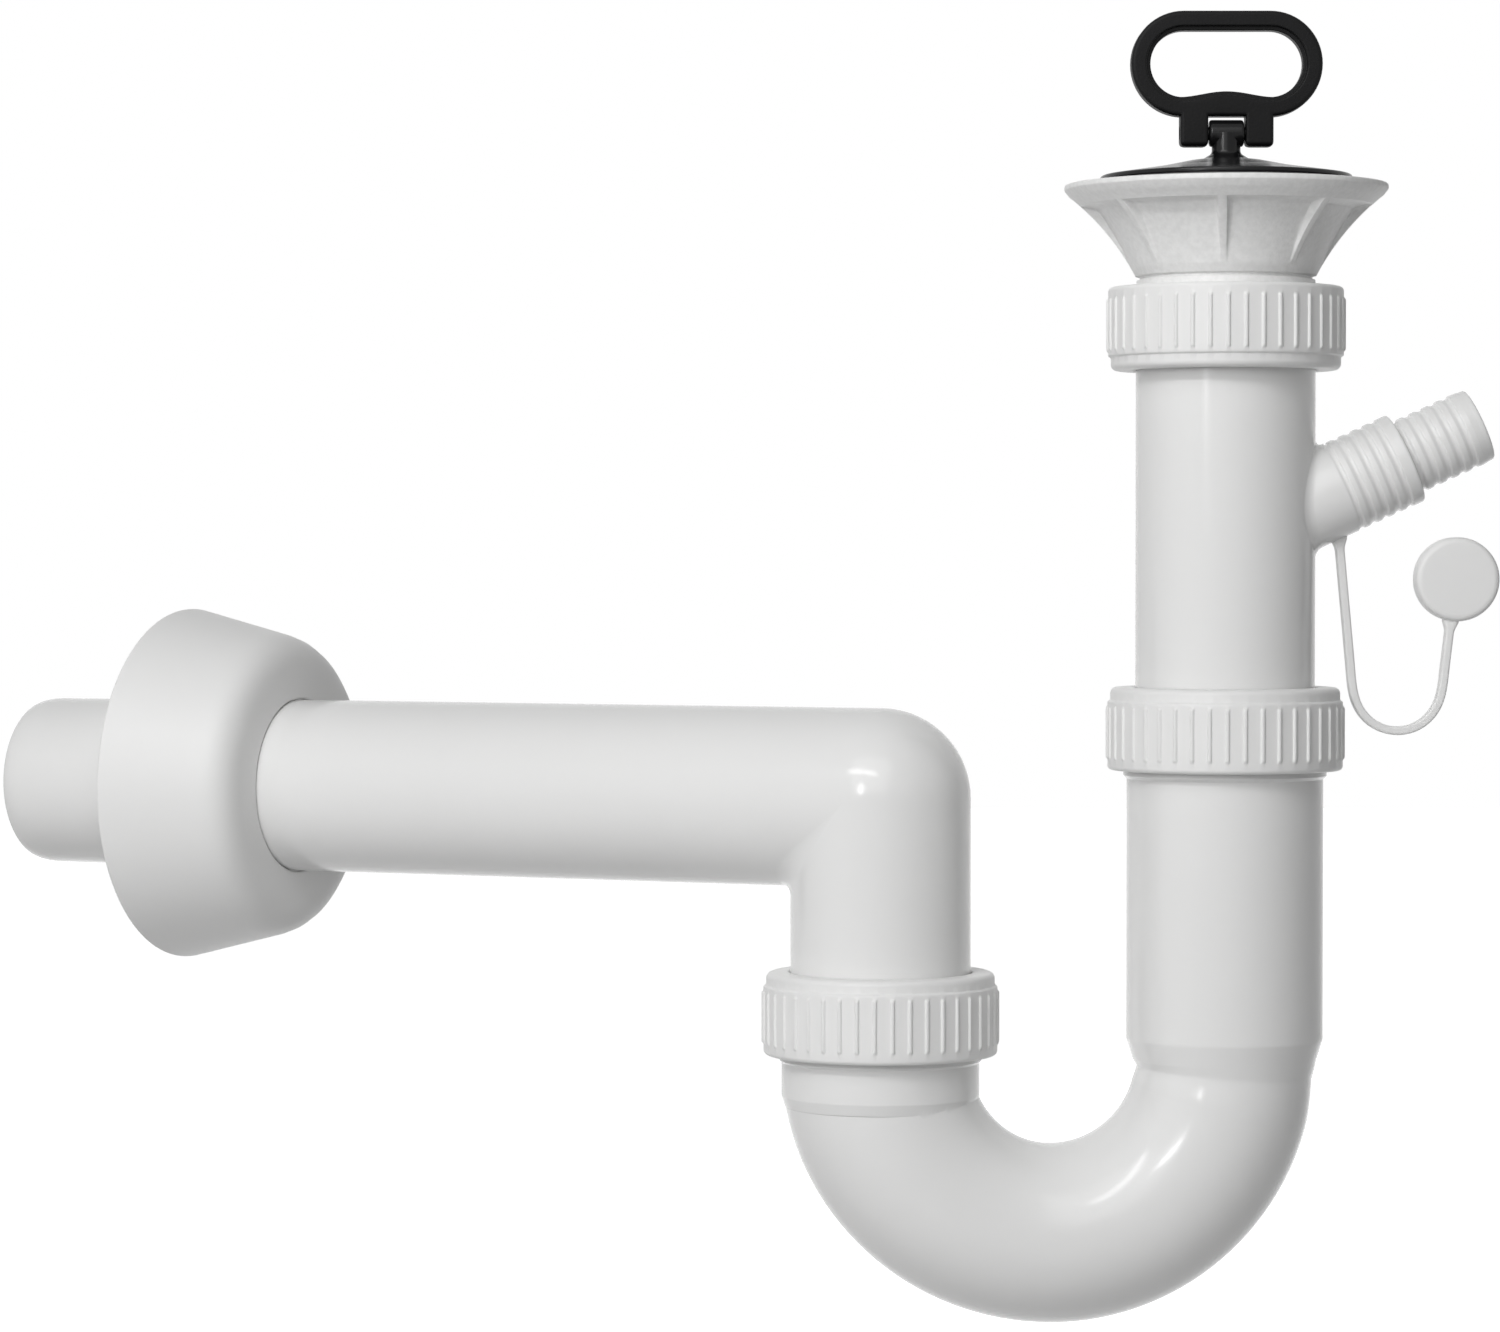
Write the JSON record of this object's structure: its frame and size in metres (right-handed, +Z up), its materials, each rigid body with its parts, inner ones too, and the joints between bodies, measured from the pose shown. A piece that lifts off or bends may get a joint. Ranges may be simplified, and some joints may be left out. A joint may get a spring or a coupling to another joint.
{
  "type": "waste trap",
  "caption": "Sink waste with plug and a tubular P-trap: ribbed funnel, tailpiece with hose branch and cap, U-bend on slip nuts, swivelling outlet elbow with wall rosette.",
  "frame": {"origin": "on the waste axis, at the top of the funnel rim where the sink sheet is clamped", "axes": "+Z up along the waste axis, +X toward the hose branch, -X toward the outlet leg"},
  "size_m": [0.3463, 0.1499, 0.2929],
  "materials": {
    "white_plastic": "moulded satin",
    "black_plastic": "moulded",
    "rubber": "matt",
    "steel": "pressed, satin",
    "brass": "turned"
  },
  "bodies": {
    "waste": {"waste_body": "white_plastic", "screw_insert": "brass", "sink_gasket": "rubber", "strainer_dish": "steel", "strainer_screw": "steel", "top_gasket": "rubber"},
    "stopper": {"plug": "black_plastic", "plug_seal": "rubber"},
    "handle": {"plug_handle": "black_plastic"},
    "upper_nut": {"top_nut": "white_plastic"},
    "tail": {"tailpiece": "white_plastic", "hose_cap": "white_plastic"},
    "inlet_ring": {"middle_seal": "rubber"},
    "trap": {"u_bend": "white_plastic"},
    "inlet_nut": {"middle_nut": "white_plastic"},
    "leg_nut": {"outlet_nut": "white_plastic"},
    "outlet_ring": {"outlet_seal": "rubber"},
    "outlet": {"outlet_pipe": "white_plastic"},
    "rosette": {"wall_rosette": "white_plastic"}
  },
  "joints": [
    {"name": "plug_lift", "type": "slide", "parent": "waste", "child": "stopper", "axis": [0, 0, 1], "range_m": [0, 0.05]},
    {"name": "handle_fold", "type": "hinge", "parent": "stopper", "child": "handle", "pos_m": [0, 0, 0.0115], "axis": [1, 0, 0], "range_deg": [-95, 95]},
    {"name": "top_nut_turn", "type": "hinge", "parent": "waste", "child": "upper_nut", "pos_m": [0, 0, -0.032], "axis": [0, 0, 1], "continuous": true},
    {"name": "tail_swivel", "type": "hinge", "parent": "waste", "child": "tail", "pos_m": [0, 0, -0.037], "axis": [0, 0, 1], "continuous": true},
    {"name": "height_slide", "type": "slide", "parent": "tail", "child": "inlet_ring", "axis": [0, 0, 1], "range_m": [-0.03, 0]},
    {"name": "trap_swivel", "type": "hinge", "parent": "inlet_ring", "child": "trap", "pos_m": [0, 0, -0.1175], "axis": [0, 0, 1], "range_deg": [-75, 75]},
    {"name": "middle_nut_turn", "type": "hinge", "parent": "trap", "child": "inlet_nut", "pos_m": [0, 0, -0.12], "axis": [0, 0, 1], "continuous": true},
    {"name": "outlet_nut_turn", "type": "hinge", "parent": "trap", "child": "leg_nut", "pos_m": [-0.077, 0, -0.185], "axis": [0, 0, 1], "continuous": true},
    {"name": "outlet_swivel", "type": "hinge", "parent": "trap", "child": "outlet_ring", "pos_m": [-0.077, 0, -0.1812], "axis": [0, 0, 1], "range_deg": [-85, 135]},
    {"name": "outlet_slide", "type": "slide", "parent": "outlet_ring", "child": "outlet", "axis": [0, 0, 1], "range_m": [0, 0.01]},
    {"name": "rosette_slide", "type": "slide", "parent": "outlet", "child": "rosette", "axis": [-0.9063, 0.4226, 0], "range_m": [-0.105, 0.035]}
  ]
}
